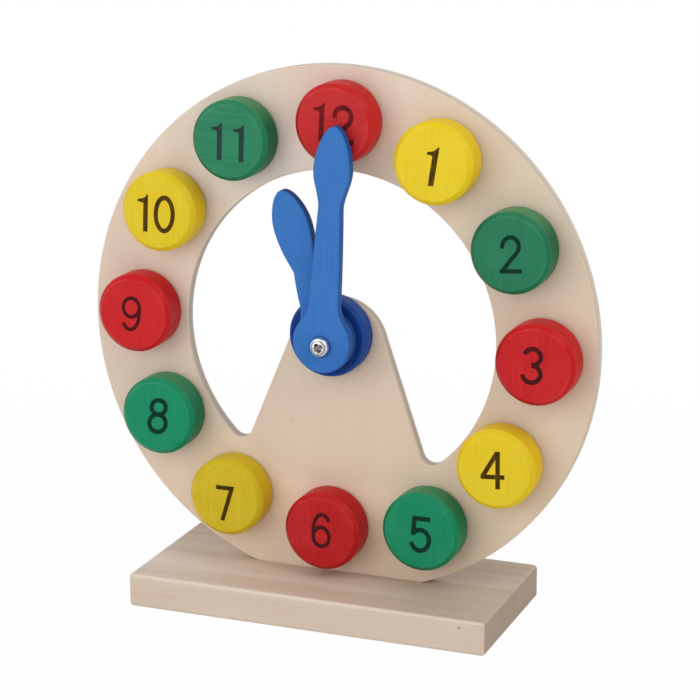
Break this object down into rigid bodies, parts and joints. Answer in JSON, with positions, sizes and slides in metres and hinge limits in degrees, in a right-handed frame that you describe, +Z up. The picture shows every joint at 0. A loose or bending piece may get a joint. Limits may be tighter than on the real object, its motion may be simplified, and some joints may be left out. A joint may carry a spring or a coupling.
{
  "type": "wooden teaching clock",
  "caption": "Round wooden dial with an open centre on a base board, with coloured number blocks that plug onto pegs and two blue hands that turn on one screw.",
  "frame": {"origin": "on the table under the middle of the dial, at the middle of the base board's depth", "axes": "+Z up, -Y forward out of the dial, +X to the right of someone who reads the dial"},
  "size_m": [0.2148, 0.071, 0.2224],
  "materials": {
    "base_wood": "satin lacquered solid wood with a fine long grain",
    "plate_wood": "satin lacquered pale plywood",
    "peg_wood": "plain sanded dowel",
    "red_paint": "satin red paint on wood, black painted numeral",
    "yellow_paint": "satin yellow paint on wood, black painted numeral",
    "green_paint": "satin green paint on wood, black painted numeral",
    "hand_paint": "satin blue paint on wood",
    "hub_paint": "satin dark blue paint on wood",
    "screw_steel": "bright plated steel"
  },
  "bodies": {
    "stand": {"base_board": "base_wood", "base_screw_left": "screw_steel", "base_screw_right": "screw_steel", "clock_plate": "plate_wood", "hub_disc": "hub_paint", "pivot_screw": "screw_steel"},
    "hour_hand": {"hour_hand": "hand_paint"},
    "minute_hand": {"minute_hand": "hand_paint"},
    "peg_1": {"peg_1": "peg_wood"},
    "block_1": {"number_block_1": "yellow_paint"},
    "peg_2": {"peg_2": "peg_wood"},
    "block_2": {"number_block_2": "green_paint"},
    "peg_3": {"peg_3": "peg_wood"},
    "block_3": {"number_block_3": "red_paint"},
    "peg_4": {"peg_4": "peg_wood"},
    "block_4": {"number_block_4": "yellow_paint"},
    "peg_5": {"peg_5": "peg_wood"},
    "block_5": {"number_block_5": "green_paint"},
    "peg_6": {"peg_6": "peg_wood"},
    "block_6": {"number_block_6": "red_paint"},
    "peg_7": {"peg_7": "peg_wood"},
    "block_7": {"number_block_7": "yellow_paint"},
    "peg_8": {"peg_8": "peg_wood"},
    "block_8": {"number_block_8": "green_paint"},
    "peg_9": {"peg_9": "peg_wood"},
    "block_9": {"number_block_9": "red_paint"},
    "peg_10": {"peg_10": "peg_wood"},
    "block_10": {"number_block_10": "yellow_paint"},
    "peg_11": {"peg_11": "peg_wood"},
    "block_11": {"number_block_11": "green_paint"},
    "peg_12": {"peg_12": "peg_wood"},
    "block_12": {"number_block_12": "red_paint"}
  },
  "joints": [
    {"name": "hour_hand_turn", "type": "hinge", "parent": "stand", "child": "hour_hand", "pos_m": [0, -0.0012, 0.114], "axis": [0, 1, 0], "continuous": true},
    {"name": "minute_hand_turn", "type": "hinge", "parent": "stand", "child": "minute_hand", "pos_m": [0, -0.0012, 0.114], "axis": [0, 1, 0], "continuous": true},
    {"name": "block_1_twist", "type": "hinge", "parent": "stand", "child": "peg_1", "pos_m": [0.04358, -0.0012, 0.18824], "axis": [0, 1, 0], "continuous": true},
    {"name": "block_1_pull", "type": "slide", "parent": "peg_1", "child": "block_1", "axis": [0, -1, 0], "range_m": [0, 0.04]},
    {"name": "block_2_twist", "type": "hinge", "parent": "stand", "child": "peg_2", "pos_m": [0.07508, -0.0012, 0.1559], "axis": [0, 1, 0], "continuous": true},
    {"name": "block_2_pull", "type": "slide", "parent": "peg_2", "child": "block_2", "axis": [0, -1, 0], "range_m": [0, 0.04]},
    {"name": "block_3_twist", "type": "hinge", "parent": "stand", "child": "peg_3", "pos_m": [0.08548, -0.0012, 0.11282], "axis": [0, 1, 0], "continuous": true},
    {"name": "block_3_pull", "type": "slide", "parent": "peg_3", "child": "block_3", "axis": [0, -1, 0], "range_m": [0, 0.04]},
    {"name": "block_4_twist", "type": "hinge", "parent": "stand", "child": "peg_4", "pos_m": [0.07015, -0.0012, 0.06912], "axis": [0, 1, 0], "continuous": true},
    {"name": "block_4_pull", "type": "slide", "parent": "peg_4", "child": "block_4", "axis": [0, -1, 0], "range_m": [0, 0.04]},
    {"name": "block_5_twist", "type": "hinge", "parent": "stand", "child": "peg_5", "pos_m": [0.03939, -0.0012, 0.03947], "axis": [0, 1, 0], "continuous": true},
    {"name": "block_5_pull", "type": "slide", "parent": "peg_5", "child": "block_5", "axis": [0, -1, 0], "range_m": [0, 0.04]},
    {"name": "block_6_twist", "type": "hinge", "parent": "stand", "child": "peg_6", "pos_m": [-0.00281, -0.0012, 0.03445], "axis": [0, 1, 0], "continuous": true},
    {"name": "block_6_pull", "type": "slide", "parent": "peg_6", "child": "block_6", "axis": [0, -1, 0], "range_m": [0, 0.04]},
    {"name": "block_7_twist", "type": "hinge", "parent": "stand", "child": "peg_7", "pos_m": [-0.04501, -0.0012, 0.04392], "axis": [0, 1, 0], "continuous": true},
    {"name": "block_7_pull", "type": "slide", "parent": "peg_7", "child": "block_7", "axis": [0, -1, 0], "range_m": [0, 0.04]},
    {"name": "block_8_twist", "type": "hinge", "parent": "stand", "child": "peg_8", "pos_m": [-0.07494, -0.0012, 0.07549], "axis": [0, 1, 0], "continuous": true},
    {"name": "block_8_pull", "type": "slide", "parent": "peg_8", "child": "block_8", "axis": [0, -1, 0], "range_m": [0, 0.04]},
    {"name": "block_9_twist", "type": "hinge", "parent": "stand", "child": "peg_9", "pos_m": [-0.08475, -0.0012, 0.11806], "axis": [0, 1, 0], "continuous": true},
    {"name": "block_9_pull", "type": "slide", "parent": "peg_9", "child": "block_9", "axis": [0, -1, 0], "range_m": [0, 0.04]},
    {"name": "block_10_twist", "type": "hinge", "parent": "stand", "child": "peg_10", "pos_m": [-0.07275, -0.0012, 0.16107], "axis": [0, 1, 0], "continuous": true},
    {"name": "block_10_pull", "type": "slide", "parent": "peg_10", "child": "block_10", "axis": [0, -1, 0], "range_m": [0, 0.04]},
    {"name": "block_11_twist", "type": "hinge", "parent": "stand", "child": "peg_11", "pos_m": [-0.04094, -0.0012, 0.19199], "axis": [0, 1, 0], "continuous": true},
    {"name": "block_11_pull", "type": "slide", "parent": "peg_11", "child": "block_11", "axis": [0, -1, 0], "range_m": [0, 0.04]},
    {"name": "block_12_twist", "type": "hinge", "parent": "stand", "child": "peg_12", "pos_m": [0.003, -0.0012, 0.20095], "axis": [0, 1, 0], "continuous": true},
    {"name": "block_12_pull", "type": "slide", "parent": "peg_12", "child": "block_12", "axis": [0, -1, 0], "range_m": [0, 0.0012]}
  ]
}
